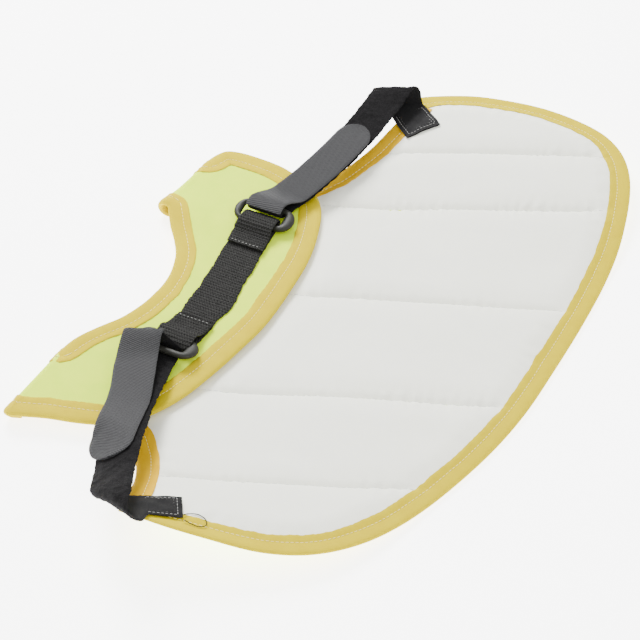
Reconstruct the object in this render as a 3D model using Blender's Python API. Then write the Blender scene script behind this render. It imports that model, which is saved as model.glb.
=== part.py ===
"""Padded float coat for a pet: a quilted back panel with a chest flap folded over it and two strap closures.

The coat lies shell side down with its lining up. +X runs along the spine towards the tail, +Y to the far
flank and +Z up; the origin is the bottom centre of its box. Dimensions are in millimetres and are turned
into metres as each mesh is written. Every layer is drawn flat and then raised by lift(), which curls
both flanks upwards, so stacked layers keep their spacing.
"""
import math

import bmesh
import bpy
from mathutils import Vector

MM = 0.001

# Driving dimensions, in millimetres
CENTRE = (6.1, 13.8)         # plan point, in the drawing frame, that becomes the origin
CLOTH = 0.8                  # shell, lining and folded binding tape
LAYER_GAP = 0.6              # between stacked layers
FLAP_GAP = 0.8               # between the back's binding and the flap
PATCH_GAP = 0.6              # between the back's binding and a sewn end
ELASTIC_GAP = 0.55           # between the flap and the elastic
FOAM = 2.0
TAPE_WIDTH = 12.2            # of the binding tape on the face of a panel
CORNER_SKIP = 4.0            # bare edge where a binding stops at a fold
CORNER_LAP = TAPE_WIDTH + 2      # bare edge where a binding stops at the tape of another
STRAP_WIDTH = 25.0
STRAP = 1.3                  # thickness of the hook and loop strap and of the elastic
STRAP_ROLL = 4.0             # radius at which a strap turns over at its sewn end
TURN_LENGTH = 40.0           # over which a strap leaves the flank after its turn
SKEW_LENGTH = 30.0           # over which a strap swings from the ring's direction to its own
TAB_CLEAR = 0.6              # between the tab and the strap under it
TAB_SETTLE = 16.0            # length in which the tab comes down from the ring
SEAM = 1.6                   # bare width between two foam strips
FOAM_MARGIN = 6.0            # from the edge of the panel to the foam

RING_LENGTH = 40.0
RING_WIDTH = 18.0
RING_TILT = math.radians(12)
RING_BAR = 4.0
RING_OPENING = 25.6          # straight length of the ring's bars
RING_CORNER = 1.6            # from the end of a straight bar to the end of the ring's hole
RING_SQUARE = 0.35           # how square the corners of the hole are: 1 round, 0 square
RING_PLAY = 1.0              # clearance of a strap round its bar
LOOP_PLAY = 0.4              # clearance of the elastic round its bar
LOOP_RETURN = 22.0           # length of elastic that is turned back and sewn down
LOOP_REST = 0.5              # between the turned-back elastic and the elastic under it
# How the turned-back elastic comes down from its bar: length back from the bar, and height above the rest
LOOP_DESCENT = [(6.0, 4.7), (12.0, 0.9), (16.0, 0.0)]
BAR_WRAP = RING_BAR / 2 + RING_PLAY + STRAP / 2

PATCH_LENGTH = 22.0
THREAD = 0.55

NEAR_CURL_START = -90.0
NEAR_CURL = 0.0022
FAR_CURL_START = 100.0
FAR_CURL_END = 220.0
FAR_CURL_HEIGHT = 12.0
NEAR_CURL_FRONT = (-75.0, 55.0)      # x at which the near curl sets in, and the length in which it does
NEAR_CURL_TAIL = (-20.0, 100.0, 0.4)     # where it fades towards the tail, over what length and how much
# Cuts that let the flat sheets follow the curl
CURL_CUTS_Y = (-190, -170, -150, -130, -110, -90, 110, 134, 158, 182, 206, 230)
CURL_CUTS_X = (-70, -45, -20, 15, 50, 90)

# Heights of the layers above the ground, before the curl
SHELL_Z = 0.0
FOAM_Z = SHELL_Z + CLOTH + LAYER_GAP
LINING_Z = FOAM_Z + FOAM + LAYER_GAP
BACK_TAPE_Z = LINING_Z + CLOTH + LAYER_GAP
BACK_TOP = BACK_TAPE_Z + CLOTH
FLAP_LINING_Z = BACK_TOP + FLAP_GAP
FLAP_SHELL_Z = FLAP_LINING_Z + CLOTH + LAYER_GAP
FLAP_TAPE_Z = FLAP_SHELL_Z + CLOTH + LAYER_GAP
FLAP_TOP = FLAP_TAPE_Z + CLOTH
RING_Z = FLAP_SHELL_Z + CLOTH + ELASTIC_GAP + STRAP + RING_PLAY + RING_BAR / 2
PATCH_Z = BACK_TOP + PATCH_GAP

# Outer edges of the bound panels, as smooth curves through these points
TAIL_EDGE = [(-22, 221), (2, 232), (28, 239), (56, 242), (84, 239), (106, 231), (124, 214), (137, 187),
             (146, 146), (149, 108), (149, 65), (147, 20), (144, -20), (137, -58), (125, -98), (112, -131),
             (98, -155), (80, -174), (56, -188), (28, -197), (4, -204), (-20, -208)]
NEAR_ARM_EDGE = [(-23, -197), (-27, -184), (-33, -169), (-44, -152), (-58, -138), (-76, -134), (-100, -141),
                 (-126, -150)]
FAR_ARM_EDGE = [(-26, 208), (-30, 193), (-33, 178), (-37, 159), (-43, 141), (-51, 122), (-62, 108),
                (-80, 101), (-104, 99), (-130, 92)]
BACK_NECK_EDGE = [(-130, 44), (-110, 38), (-94, 24), (-85, 4), (-83, -20), (-86, -50), (-96, -76),
                  (-110, -92), (-126, -98)]
FLAP_EDGE = [(-131, 97), (-126, 108), (-118, 112), (-104, 113), (-80, 111), (-56, 100), (-42, 86), (-33, 64),
             (-27, 38), (-25, 8), (-25, -26), (-29, -52), (-35, -80), (-43, -107), (-55, -128), (-70, -139),
             (-88, -146), (-106, -151), (-126, -159)]
FLAP_NECK_EDGE = [(-126, -99), (-122, -86), (-115, -73), (-106, -58), (-100, -38), (-99, -16), (-104, 3),
                  (-112, 16), (-121, 27), (-130, 40)]

# Quilting lines: y at x = QUILT_X, and slope
QUILT_X = 50.0
QUILT_LINES = [(186, 0.40), (132, 0.41), (38, 0.39), (-53, 0.40), (-130, 0.48)]
FOAM_FRONT_X = -62.0

# Fold between the back and the chest flap: its x at y = 0, and slope of x along y
FOLD_X = -129.2
FOLD_SLOPE = -0.0256
FOLD_CLEAR = 1.0             # between the fold and the sheets that it joins
FAR_FOLD = (45.0, 91.0)
NEAR_FOLD = (-149.0, -99.0)

# One closure each: middle of the ring, turn of the strap, direction of the sewn patch, sideways bow of the
# strap, length of the hook tab, and how far it swings off the strap per millimetre of its length
SIDES = {
    "far": {"ring": (-69, 57), "turn": (-39, 198), "inward": (0.76, -0.65), "bow": 4.0, "tab": 90, "swing": 0.0},
    "near": {"ring": (-69, -72.5), "turn": (-28, -203), "inward": (0.85, 0.53), "bow": -5.0, "tab": 104,
             "swing": -0.05},
}
TAB_START = 3.0              # from the axis of the ring's bar to the free part of the tab
TAB_TIP = 14.0               # length of the rounded tip
TIP_BLUNT = 0.2              # width of the end of the tip, as a share of the strap
PATCH_CUT = 0.4              # bare length between a strap and its sewn end
AFTER_TURN = 0.5             # strap between its turn and its patch

# The loose thread that sticks out of the near patch: along and across from the patch's end, and height
THREAD_ROUTE = [(0.7, 2.0, 0.0), (3.5, 0.3, -0.5), (8.5, 0.6, -0.6), (12.4, 4.2, -0.6), (12.0, 8.6, -0.6),
                (8.0, 9.8, -0.6), (3.6, 8.0, -0.5), (0.7, 6.2, 0.0)]
THREAD_STEPS = 4

# Finishes: colour and roughness
LIME = ((0.80, 0.98, 0.35), 0.7)
LINING_WHITE = ((0.93, 0.94, 0.88), 0.65)
TAPE_YELLOW = ((0.98, 0.83, 0.18), 0.75)
FOAM_WHITE = ((0.90, 0.90, 0.86), 0.9)
LOOP_BLACK = ((0.03, 0.03, 0.03), 0.95)
STRAP_BLACK = ((0.03, 0.03, 0.03), 0.7)
ELASTIC_BLACK = ((0.03, 0.03, 0.03), 0.9)
THREAD_BLACK = ((0.03, 0.03, 0.03), 0.8)
HOOK_GREY = ((0.12, 0.12, 0.12), 0.75)
RING_BLACK = ((0.10, 0.10, 0.09), 0.35)

# Facets
EDGE_STEPS = 2
FOLD_STATIONS = 4
FOLD_ARC = 8
BAR_ARC = 8
RING_ARC = 8
RING_SIDES = 8
STRAP_COLUMNS = 6
STRAP_START = 2.0            # from the ring's bar to the first station of the strap
BEND_LENGTH = 24.0           # of the strap before its turn that is made in fine steps
FINE_STEP = 2.6
COARSE_STEP = 12.0
TAB_STEP = 6.0
PATCH_STEP = 6.0
PATCH_COLUMNS = 3
SHARP = math.radians(40)     # edges sharper than this stay sharp on a smooth piece
TIP_STEPS = 5


def smoothstep(t):
    t = min(max(t, 0.0), 1.0)
    return t * t * (3 - 2 * t)


def lift(x, y):
    """Height by which the curled flanks raise the point (x, y)."""
    near = max(NEAR_CURL_START - y, 0.0)
    forward = smoothstep((x - NEAR_CURL_FRONT[0]) / NEAR_CURL_FRONT[1])
    tail = 1 - NEAR_CURL_TAIL[2] * smoothstep((x - NEAR_CURL_TAIL[0]) / NEAR_CURL_TAIL[1])
    rise = NEAR_CURL * forward * tail * near * near
    far = smoothstep((y - FAR_CURL_START) / (FAR_CURL_END - FAR_CURL_START))
    return rise + FAR_CURL_HEIGHT * far


def spline(points, steps):
    """Smooth curve through points, with steps stretches between each two."""
    pts = [Vector(p) for p in points]
    n = len(pts)
    out = []
    for i in range(n - 1):
        a, b, c, d = (pts[min(max(i + k, 0), n - 1)] for k in (-1, 0, 1, 2))
        for s in range(steps):
            t = s / steps
            out.append(0.5 * (2 * b + (c - a) * t + (2 * a - 5 * b + 4 * c - d) * t * t
                              + (3 * b - a - 3 * c + d) * t ** 3))
    return out + [pts[-1]]


def normals_of(path, closed=False):
    """Unit normals to the right of a plan path."""
    n = len(path)
    out = []
    for i in range(n):
        a = path[i - 1] if closed or i else path[0]
        b = path[(i + 1) % n] if closed else path[min(i + 1, n - 1)]
        along = (b - a).normalized()
        out.append(Vector((along.y, -along.x)))
    return out


def inset(outline, distance):
    """A closed outline that runs clockwise, moved inwards by distance."""
    return [p + n * distance for p, n in zip(outline, normals_of(outline, closed=True))]


def material(name, look):
    colour, roughness = look
    mat = bpy.data.materials.new(name)
    mat.use_nodes = True
    shader = mat.node_tree.nodes["Principled BSDF"]
    shader.inputs["Base Color"].default_value = (*colour, 1)
    shader.inputs["Roughness"].default_value = roughness
    return mat


def finish(name, bm, look, raised=True, smooth=False, origin=(0, 0, 0)):
    """Writes a bmesh drawn in millimetres as an object in metres, raised by the curl if asked."""
    if raised:
        for v in bm.verts:
            v.co.z += lift(v.co.x, v.co.y)
    bmesh.ops.triangulate(bm, faces=bm.faces)
    bmesh.ops.recalc_face_normals(bm, faces=bm.faces)
    start = Vector(origin)
    for v in bm.verts:
        v.co = (v.co - start) * MM
    mesh = bpy.data.meshes.new(name)
    bm.to_mesh(mesh)
    bm.free()
    if smooth:
        mesh.shade_smooth()
        mesh.set_sharp_from_angle(angle=SHARP)
    obj = bpy.data.objects.new(name, mesh)
    obj.location = (start - Vector((*CENTRE, 0))) * MM
    bpy.context.scene.collection.objects.link(obj)
    obj.data.materials.append(material(name, look))
    return obj


def prism(outline, low, high):
    bm = bmesh.new()
    bottom = [bm.verts.new((p.x, p.y, low)) for p in outline]
    top = [bm.verts.new((p.x, p.y, high)) for p in outline]
    bm.faces.new(bottom)
    bm.faces.new(reversed(top))
    for i in range(len(outline)):
        j = (i + 1) % len(outline)
        bm.faces.new((bottom[j], bottom[i], top[i], top[j]))
    return bm


def cut(bm, point, normal, drop=False):
    """Cuts a mesh along a plane. With drop, the side that the normal points to is removed and capped."""
    geometry = bm.verts[:] + bm.edges[:] + bm.faces[:]
    bmesh.ops.bisect_plane(bm, geom=geometry, plane_co=point, plane_no=normal, dist=1e-5, clear_outer=drop)
    if drop:
        bmesh.ops.holes_fill(bm, edges=[e for e in bm.edges if e.is_boundary])


def cut_for_curl(bm):
    """Adds the cuts that let a flat sheet follow lift()."""
    for y in CURL_CUTS_Y:
        cut(bm, (0, y, 0), (0, 1, 0))
    for x in CURL_CUTS_X:
        cut(bm, (x, 0, 0), (1, 0, 0))


def sheet(name, outline, low, look, thickness=CLOTH):
    bm = prism(outline, low, low + thickness)
    cut_for_curl(bm)
    return finish(name, bm, look)


def loft(stations, closed=False):
    """Joins equal rings of points into one closed body."""
    bm = bmesh.new()
    rings = [[bm.verts.new(p) for p in ring] for ring in stations]
    count = len(rings)
    size = len(rings[0])
    for i in range(count if closed else count - 1):
        a, b = rings[i], rings[(i + 1) % count]
        for k in range(size):
            m = (k + 1) % size
            bm.faces.new((a[k], a[m], b[m], b[k]))
    if not closed:
        bm.faces.new(reversed(rings[0]))
        bm.faces.new(rings[-1])
    return bm


def trim(path, skip, skip_end):
    """Drops the points within skip of the start and within skip_end of the end."""
    return [p for p in path if (p - path[0]).length >= skip and (p - path[-1]).length >= skip_end]


def binding(name, edge, low, top, skip=0.0, skip_end=0.0):
    """Tape over the edge of a panel: a strip on top and a wall down the side. The panel lies to the
    right of the edge, in the direction in which its points run."""
    path = trim(spline(edge, EDGE_STEPS), skip, skip_end)
    section = [(-CLOTH, low), (0, low), (0, top - CLOTH), (TAPE_WIDTH, top - CLOTH), (TAPE_WIDTH, top),
               (-CLOTH, top)]
    stations = []
    for p, n in zip(path, normals_of(path)):
        base = p + n * CLOTH
        stations.append([(base.x + n.x * s, base.y + n.y * s, z) for s, z in section])
    return finish(name, loft(stations), TAPE_YELLOW)


def back_outline():
    """Clockwise seen from above: tail edge, near armhole, neck and far armhole."""
    return spline(TAIL_EDGE, EDGE_STEPS) + spline(NEAR_ARM_EDGE, EDGE_STEPS) \
        + list(reversed(spline(BACK_NECK_EDGE, EDGE_STEPS))) + list(reversed(spline(FAR_ARM_EDGE, EDGE_STEPS)))


def flap_outline():
    return spline(FLAP_EDGE, EDGE_STEPS) + spline(FLAP_NECK_EDGE, EDGE_STEPS)


def make_back():
    outline = back_outline()
    panel = inset(outline, CLOTH + LAYER_GAP)
    sheet("back_shell", panel, SHELL_Z, LIME)
    sheet("back_lining", panel, LINING_Z, LINING_WHITE)
    core = inset(outline, FOAM_MARGIN)
    for i in range(len(QUILT_LINES) + 1):
        bm = prism(core, FOAM_Z, FOAM_Z + FOAM)
        cut(bm, (FOAM_FRONT_X, 0, 0), (-1, 0, 0), drop=True)
        for line, side in ((i - 1, 1), (i, -1)):
            if 0 <= line < len(QUILT_LINES):
                height, slope = QUILT_LINES[line]
                across = Vector((-slope, 1, 0)).normalized() * side
                cut(bm, Vector((QUILT_X, height, 0)) - across * SEAM / 2, across, drop=True)
        cut_for_curl(bm)
        finish(f"foam_strip_{i + 1}", bm, FOAM_WHITE)
    binding("tail_binding", TAIL_EDGE, SHELL_Z, BACK_TOP)
    binding("near_arm_binding", NEAR_ARM_EDGE, SHELL_Z, BACK_TOP, CORNER_LAP, CORNER_SKIP)
    binding("far_arm_binding", list(reversed(FAR_ARM_EDGE)), SHELL_Z, BACK_TOP, CORNER_SKIP, CORNER_LAP)
    binding("back_neck_binding", list(reversed(BACK_NECK_EDGE)), SHELL_Z, BACK_TOP, CORNER_SKIP, CORNER_SKIP)


def make_flap():
    outline = flap_outline()
    panel = inset(outline, CLOTH + LAYER_GAP)
    sheet("chest_shell", panel, FLAP_SHELL_Z, LIME)
    sheet("chest_lining", panel, FLAP_LINING_Z, LINING_WHITE)
    binding("chest_edge_binding", FLAP_EDGE, FLAP_LINING_Z, FLAP_TOP, CORNER_SKIP, CORNER_SKIP)
    binding("chest_neck_binding", FLAP_NECK_EDGE, FLAP_LINING_Z, FLAP_TOP, CORNER_SKIP, CORNER_SKIP)


def fold_x(y):
    return FOLD_X + FOLD_SLOPE * y


def make_fold(name, span):
    """The cloth that turns over between the back and the chest flap, as a half tube open to the tail."""
    low, high = SHELL_Z, FLAP_SHELL_Z + CLOTH
    radius = (high - low) / 2
    stations = []
    for i in range(FOLD_STATIONS):
        y = span[0] + (span[1] - span[0]) * i / (FOLD_STATIONS - 1)
        ring = []
        for r, steps in ((radius, range(FOLD_ARC + 1)), (radius - CLOTH, range(FOLD_ARC, -1, -1))):
            for k in steps:
                a = math.pi / 2 + math.pi * k / FOLD_ARC
                ring.append((fold_x(y) - FOLD_CLEAR + r * math.cos(a), y, low + radius + r * math.sin(a)))
        stations.append(ring)
    finish(name, loft(stations), LIME, smooth=True)


def offset(rows, distance):
    """A grid of points moved along its own normals."""
    count, width = len(rows), len(rows[0])
    out = []
    for i in range(count):
        line = []
        for k in range(width):
            along = rows[min(i + 1, count - 1)][k] - rows[max(i - 1, 0)][k]
            across = rows[i][min(k + 1, width - 1)] - rows[i][max(k - 1, 0)]
            line.append(rows[i][k] + across.cross(along).normalized() * distance)
        out.append(line)
    return out


def slab(rows):
    """A closed strap of even thickness round a grid of middle points."""
    count, width = len(rows), len(rows[0])
    bm = bmesh.new()
    low, high = ([[bm.verts.new(p) for p in line] for line in offset(rows, d)] for d in (-STRAP / 2, STRAP / 2))
    for i in range(count - 1):
        for k in range(width - 1):
            bm.faces.new((low[i][k], low[i + 1][k], low[i + 1][k + 1], low[i][k + 1]))
            bm.faces.new((high[i][k], high[i][k + 1], high[i + 1][k + 1], high[i + 1][k]))
        for k in (0, width - 1):
            bm.faces.new((low[i][k], high[i][k], high[i + 1][k], low[i + 1][k]))
    for k in range(width - 1):
        for i in (0, count - 1):
            bm.faces.new((low[i][k], high[i][k], high[i][k + 1], low[i][k + 1]))
    return bm


def deep(plan, z):
    return Vector((plan.x, plan.y, z))


class Closure:
    """Directions and places of one ring, strap, tab and patch. Plan vectors point away from the chest."""

    def __init__(self, side):
        far, near = (Vector(SIDES[s]["ring"]) for s in ("far", "near"))
        self.side = side
        self.ring = Vector(SIDES[side]["ring"])
        self.turn = Vector(SIDES[side]["turn"])
        self.out = (far - near).normalized() * (1 if side == "far" else -1)
        self.bar = Vector((self.out.y, -self.out.x))
        if self.bar.x < 0:
            self.bar = -self.bar
        half = (RING_WIDTH - RING_BAR) / 2
        self.pivot = deep(self.ring - self.out * half, RING_Z)
        self.slant = deep(self.out * math.cos(RING_TILT), math.sin(RING_TILT))
        self.outer = self.pivot + self.slant * 2 * half
        self.run = (self.turn - self.outer.xy).normalized()
        self.run_length = (self.turn - self.outer.xy).length
        inward = Vector(SIDES[side]["inward"]).normalized()
        crease = (self.run + inward).normalized()
        self.away = Vector((-crease.y, crease.x))
        if self.away.dot(self.run) < 0:
            self.away = -self.away
        self.level = PATCH_Z + STRAP / 2
        self.side_way = Vector((self.run.y, -self.run.x))
        if self.side_way.dot(self.bar) < 0:
            self.side_way = -self.side_way
        rolled = math.pi * STRAP_ROLL + abs(self.side_way.dot(self.away)) * STRAP_WIDTH / 2
        self.exit = self.run_length + rolled / self.away.dot(self.run) + AFTER_TURN

    def strip(self, along, sideways):
        """Middle surface of the strap: from the ring bar, over the turn and back under it to the patch."""
        share = min(along / self.run_length, 1.0)
        sideways += SIDES[self.side]["bow"] * 4 * share * (1 - share)
        flat = self.outer.xy + self.run * along + self.side_way * sideways
        flat += (self.bar - self.side_way) * sideways * (1 - smoothstep(along / SKEW_LENGTH))
        t = (flat - self.turn).dot(self.away)
        line = flat - self.away * t
        if t > math.pi * STRAP_ROLL:
            p = line - self.away * (t - math.pi * STRAP_ROLL)
            return deep(p, self.level + lift(p.x, p.y))
        if t > 0:
            p = line + self.away * STRAP_ROLL * math.sin(t / STRAP_ROLL)
            return deep(p, self.level + lift(line.x, line.y) + STRAP_ROLL * (1 + math.cos(t / STRAP_ROLL)))
        low = self.outer.z - BAR_WRAP
        high = self.level + 2 * STRAP_ROLL + lift(self.turn.x, self.turn.y)
        hung = low + (high - low) * (share + smoothstep(share)) / 2
        keep = smoothstep(1 + t / TURN_LENGTH)
        over = self.level + 2 * STRAP_ROLL + lift(flat.x, flat.y)
        return deep(flat, over * keep + hung * (1 - keep))

    def rows(self, stops, columns=STRAP_COLUMNS):
        return [[self.strip(a, STRAP_WIDTH * (k / columns - 0.5)) for k in range(columns + 1)] for a in stops]


def steps_between(start, end, step):
    count = max(1, round((end - start) / step))
    return [start + (end - start) * i / count for i in range(count + 1)]


def make_strap(c):
    """Loop strap from the patch to the ring, where it goes under and round the outer bar."""
    bend = c.run_length - BEND_LENGTH
    stops = steps_between(STRAP_START, bend - FINE_STEP, COARSE_STEP)
    stops += steps_between(bend, c.exit - PATCH_CUT, FINE_STEP)
    rows = list(reversed(c.rows(stops)))
    for k in range(1, BAR_ARC + 1):
        a = -math.pi / 2 - math.pi * k / BAR_ARC
        reach = deep(c.out * math.cos(a), math.sin(a)) * BAR_WRAP
        middle = c.outer + reach
        rows.append([middle + deep(c.bar, 0) * STRAP_WIDTH * (m / STRAP_COLUMNS - 0.5)
                     for m in range(STRAP_COLUMNS + 1)])
    finish(f"{c.side}_strap", slab(rows), LOOP_BLACK, raised=False)


def make_patch(c):
    """Sewn end of a strap, flat on the lining at the corner of the flank."""
    stops = steps_between(c.exit, c.exit + PATCH_LENGTH, PATCH_STEP)
    finish(f"{c.side}_strap_patch", slab(c.rows(stops, PATCH_COLUMNS)), STRAP_BLACK, raised=False)


def make_tab(c):
    """Hook tab: the free end of the strap, which lies back on it and peels up about the ring's bar."""
    length = SIDES[c.side]["tab"]
    stops = steps_between(TAB_START, length - TAB_TIP, TAB_STEP)
    stops += [length - TAB_TIP * (1 - k / TIP_STEPS) for k in range(1, TIP_STEPS + 1)]
    rows = []
    for a in stops:
        tip = max(a - (length - TAB_TIP), 0) / TAB_TIP
        half = STRAP_WIDTH / 2 * max(math.sqrt(1 - tip * tip), TIP_BLUNT)
        swing = SIDES[c.side]["swing"] * a
        rows.append([c.strip(a, half * (2 * k / STRAP_COLUMNS - 1) + swing) for k in range(STRAP_COLUMNS + 1)])
    up = 1 if c.bar.cross(c.out) > 0 else -1
    rows = offset(rows, up * (STRAP + TAB_CLEAR))
    high = c.outer.z + BAR_WRAP + STRAP + TAB_CLEAR
    for a, row in zip(stops, rows):
        down = smoothstep((a - TAB_START) / TAB_SETTLE)
        for p in row:
            p.z = max(high * (1 - down) + p.z * down, p.z)
    finish(f"{c.side}_hook_tab", slab(rows), HOOK_GREY, raised=False, origin=c.outer)


def make_elastic(far, near):
    """Elastic across the chest, with each end round the inner bar of a ring and sewn back on itself."""
    radius = RING_BAR / 2 + LOOP_PLAY + STRAP / 2
    low = RING_Z - radius
    span = (far.pivot - near.pivot).length / 2
    rest = low + STRAP + LOOP_REST
    loop = []
    for k in range(BAR_ARC + 1):
        a = -math.pi / 2 + math.pi * k / BAR_ARC
        loop.append((span + radius * math.cos(a), RING_Z + radius * math.sin(a)))
    loop += [(span - back, rest + rise) for back, rise in LOOP_DESCENT]
    loop.append((span - LOOP_RETURN, rest))
    profile = [(-s, z) for s, z in reversed(loop)] + [(-span / 2, low), (0, low), (span / 2, low)] + loop
    middle = (far.pivot.xy + near.pivot.xy) / 2
    rows = [[deep(middle + far.out * s + far.bar * side * STRAP_WIDTH / 2, z) for side in (-1, 1)]
            for s, z in profile]
    finish("chest_elastic", slab(rows), ELASTIC_BLACK, raised=False)


def make_ring(c):
    """Oval ring: two straight bars joined by broad rounded ends, with its origin on the bar in the elastic."""
    half = (RING_WIDTH - RING_BAR) / 2
    rim = RING_WIDTH / 2
    hole = rim - RING_BAR
    bar = deep(c.bar, 0)
    up = c.slant.cross(bar)
    stations = []
    for way in (1, -1):
        for k in range(RING_ARC + 1):
            a = math.pi / 2 - math.pi * k / RING_ARC
            outer = Vector((RING_LENGTH / 2 - rim + rim * math.cos(a), rim * math.sin(a))) * way
            square = math.copysign(abs(math.sin(a)) ** RING_SQUARE, a)
            inner = Vector((RING_OPENING / 2 + RING_CORNER * math.cos(a), hole * square)) * way
            middle = (outer + inner) / 2
            reach = (outer - inner) / 2
            centre = c.pivot + bar * middle.x + c.slant * (half + middle.y)
            sideways = bar * reach.x + c.slant * reach.y
            stations.append([centre + sideways * math.cos(b) + up * RING_BAR / 2 * math.sin(b)
                             for b in (2 * math.pi * m / RING_SIDES for m in range(RING_SIDES))])
    finish(f"{c.side}_ring", loft(stations, closed=True), RING_BLACK, raised=False,
           smooth=True, origin=c.pivot)


def make_thread(c):
    """Loose loop of sewing thread at the end of the near patch, as a curve with a round section."""
    end = c.exit + PATCH_LENGTH
    route = []
    for u, v, drop in THREAD_ROUTE:
        base = c.strip(end + u, v)
        route.append(deep(base.xy, base.z + drop))
    fine = spline(route, THREAD_STEPS)
    curve = bpy.data.curves.new("loose_thread", "CURVE")
    curve.dimensions = "3D"
    curve.bevel_depth = THREAD / 2 * MM
    curve.bevel_resolution = 2
    curve.use_fill_caps = True
    line = curve.splines.new("POLY")
    line.points.add(len(fine) - 1)
    for point, p in zip(line.points, fine):
        point.co = (*((p - Vector((*CENTRE, 0))) * MM), 1)
    obj = bpy.data.objects.new("loose_thread", curve)
    bpy.context.scene.collection.objects.link(obj)
    curve.materials.append(material("loose_thread", THREAD_BLACK))


def build():
    for obj in list(bpy.data.objects):
        bpy.data.objects.remove(obj)
    make_back()
    make_flap()
    make_fold("far_shoulder_fold", FAR_FOLD)
    make_fold("near_shoulder_fold", NEAR_FOLD)
    far, near = Closure("far"), Closure("near")
    make_elastic(far, near)
    for c in (far, near):
        make_ring(c)
        make_strap(c)
        make_tab(c)
        make_patch(c)
    make_thread(near)


build()
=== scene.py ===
"""Looks of the pet float coat: quilted back, folded chest flap, bindings, straps, rings and elastic.

Everything is drawn in millimetres in the drawing frame of the CAD source, whose origin lies CENTRE away from
the model's, and turned into metres as each mesh is written.
"""

import math

import bpy
import numpy as np
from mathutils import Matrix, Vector
from mathutils.geometry import delaunay_2d_cdt


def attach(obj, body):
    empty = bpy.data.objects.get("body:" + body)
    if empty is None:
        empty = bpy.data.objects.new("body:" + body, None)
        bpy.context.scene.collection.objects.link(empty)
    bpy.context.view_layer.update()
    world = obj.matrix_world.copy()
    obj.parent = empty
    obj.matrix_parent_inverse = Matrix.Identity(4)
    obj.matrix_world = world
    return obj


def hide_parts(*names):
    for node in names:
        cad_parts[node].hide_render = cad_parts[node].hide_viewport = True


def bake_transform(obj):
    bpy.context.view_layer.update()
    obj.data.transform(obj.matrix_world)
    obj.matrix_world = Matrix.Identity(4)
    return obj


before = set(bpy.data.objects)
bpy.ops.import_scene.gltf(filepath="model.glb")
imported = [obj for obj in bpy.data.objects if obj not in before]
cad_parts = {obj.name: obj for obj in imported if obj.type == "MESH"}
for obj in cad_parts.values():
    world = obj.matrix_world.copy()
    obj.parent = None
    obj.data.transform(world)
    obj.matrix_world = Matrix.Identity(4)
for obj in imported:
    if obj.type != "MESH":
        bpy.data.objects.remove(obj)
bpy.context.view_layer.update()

MM = 0.001
CENTRE = np.array((6.1, 13.8, 0.0))

TAPE = 13.0                  # width of a folded binding on the face of a panel
STRAP_WIDTH = 25.0
STRAP = 1.3                  # thickness of a strap
STRAP_ROLL = 4.0             # radius at which a strap turns over at its sewn end
TURN_LENGTH = 40.0           # over which a strap leaves the flank after its turn
SKEW_LENGTH = 30.0           # over which a strap swings from the ring's direction to its own
RING_WIDTH = 18.0
RING_LENGTH = 40.0
RING_TILT = math.radians(12)
RING_BAR = 4.0
RING_OPENING = 25.6
RING_CORNER = 1.6            # from the end of a straight bar to the end of the ring's hole
RING_SQUARE = 0.35           # how square the corners of the hole are: 1 round, 0 square
RING_Z = 14.05
BAR_WRAP = RING_BAR / 2 + 1.0 + STRAP / 2
TAB_WRAP = BAR_WRAP + STRAP + 0.1

TAIL_EDGE = [(-22, 221), (2, 232), (28, 239), (56, 242), (84, 239), (106, 231), (124, 214), (137, 187),
             (146, 146), (149, 108), (149, 65), (147, 20), (144, -20), (137, -58), (125, -98), (112, -131),
             (98, -155), (80, -174), (56, -188), (28, -197), (4, -204), (-20, -208)]
NEAR_ARM_EDGE = [(-23, -197), (-27, -184), (-33, -169), (-44, -152), (-58, -138), (-76, -134), (-100, -141),
                 (-126, -150)]
FAR_ARM_EDGE = [(-26, 208), (-30, 193), (-33, 178), (-37, 159), (-43, 141), (-51, 122), (-62, 108),
                (-80, 101), (-104, 99), (-130, 92)]
BACK_NECK_EDGE = [(-130, 44), (-110, 38), (-94, 24), (-85, 4), (-83, -20), (-86, -50), (-96, -76),
                  (-110, -92), (-126, -98)]
FLAP_EDGE = [(-131, 97), (-126, 108), (-118, 112), (-104, 113), (-80, 111), (-56, 100), (-42, 86), (-33, 64),
             (-27, 38), (-25, 8), (-25, -26), (-29, -52), (-35, -80), (-43, -107), (-55, -128), (-70, -139),
             (-88, -146), (-106, -151), (-126, -159)]
FLAP_NECK_EDGE = [(-126, -99), (-122, -86), (-115, -73), (-106, -58), (-100, -38), (-99, -16), (-104, 3),
                  (-112, 16), (-121, 27), (-130, 40)]
QUILT_X = 50.0
QUILT_LINES = [(186, 0.40), (132, 0.41), (38, 0.39), (-53, 0.40), (-130, 0.48)]

# Of each closure: the middle of the ring, the place where the strap turns over and its direction from there,
# how far the strap bows sideways, and how far the tab swings from the strap, per millimetre of its length
SIDES = {
    "far": {"ring": (-69, 57), "turn": (-39, 198), "inward": (0.76, -0.65), "bow": 6.0, "swing": 0.0},
    "near": {"ring": (-69, -72.5), "turn": (-28, -203), "inward": (0.85, 0.53), "bow": -5.0, "swing": -0.05},
}
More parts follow.
